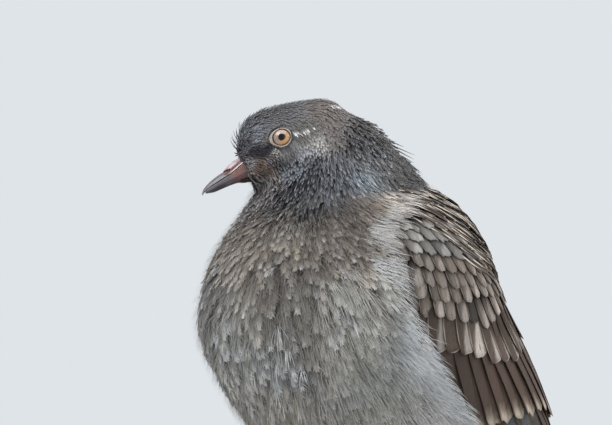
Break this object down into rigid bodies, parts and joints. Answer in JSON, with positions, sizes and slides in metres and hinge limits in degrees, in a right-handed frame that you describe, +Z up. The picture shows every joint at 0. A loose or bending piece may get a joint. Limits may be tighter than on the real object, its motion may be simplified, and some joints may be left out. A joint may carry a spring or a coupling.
{
  "type": "rock pigeon, standing, still model",
  "caption": "Life-size standing feral pigeon, puffed breast, folded wings, head turned to its right and lowered.",
  "frame": {"origin": "on the floor, under the middle of the bird's bounding box", "axes": "+Z up; the body faces -Y; the bird's left side is +X"},
  "size_m": [0.1028, 0.2372, 0.2251],
  "materials": {
    "plumage_body": "soft grey-brown breast and belly feathers",
    "plumage_neck": "slate neck hackles",
    "plumage_head": "dark velvety head feathers",
    "plumage_wing": "brown wing coverts with pale edges",
    "flight_feather": "dark brown vanes with a faint sheen",
    "bill": "dark horn",
    "cere": "dull pink-brown bare skin",
    "eye": "wet, orange-brown iris",
    "leg_skin": "dull red scaled skin",
    "claw": "dark horn"
  },
  "bodies": {
    "root": {"trunk": "plumage_body", "neck": "plumage_neck", "head": "plumage_head", "bill_upper": "bill", "bill_lower": "bill", "cere": "cere", "eye_left": "eye", "eye_right": "eye", "wing_left": "plumage_wing", "wing_right": "plumage_wing", "primaries_left": "flight_feather", "primaries_right": "flight_feather", "tail": "flight_feather", "thigh_left": "plumage_body", "thigh_right": "plumage_body", "tarsus_left": "leg_skin", "tarsus_right": "leg_skin", "toe_middle_left": "leg_skin", "toe_inner_left": "leg_skin", "toe_outer_left": "leg_skin", "toe_hind_left": "leg_skin", "toe_middle_right": "leg_skin", "toe_inner_right": "leg_skin", "toe_outer_right": "leg_skin", "toe_hind_right": "leg_skin", "claw_middle_left": "claw", "claw_inner_left": "claw", "claw_outer_left": "claw", "claw_hind_left": "claw", "claw_middle_right": "claw", "claw_inner_right": "claw", "claw_outer_right": "claw", "claw_hind_right": "claw"}
  },
  "joints": []
}
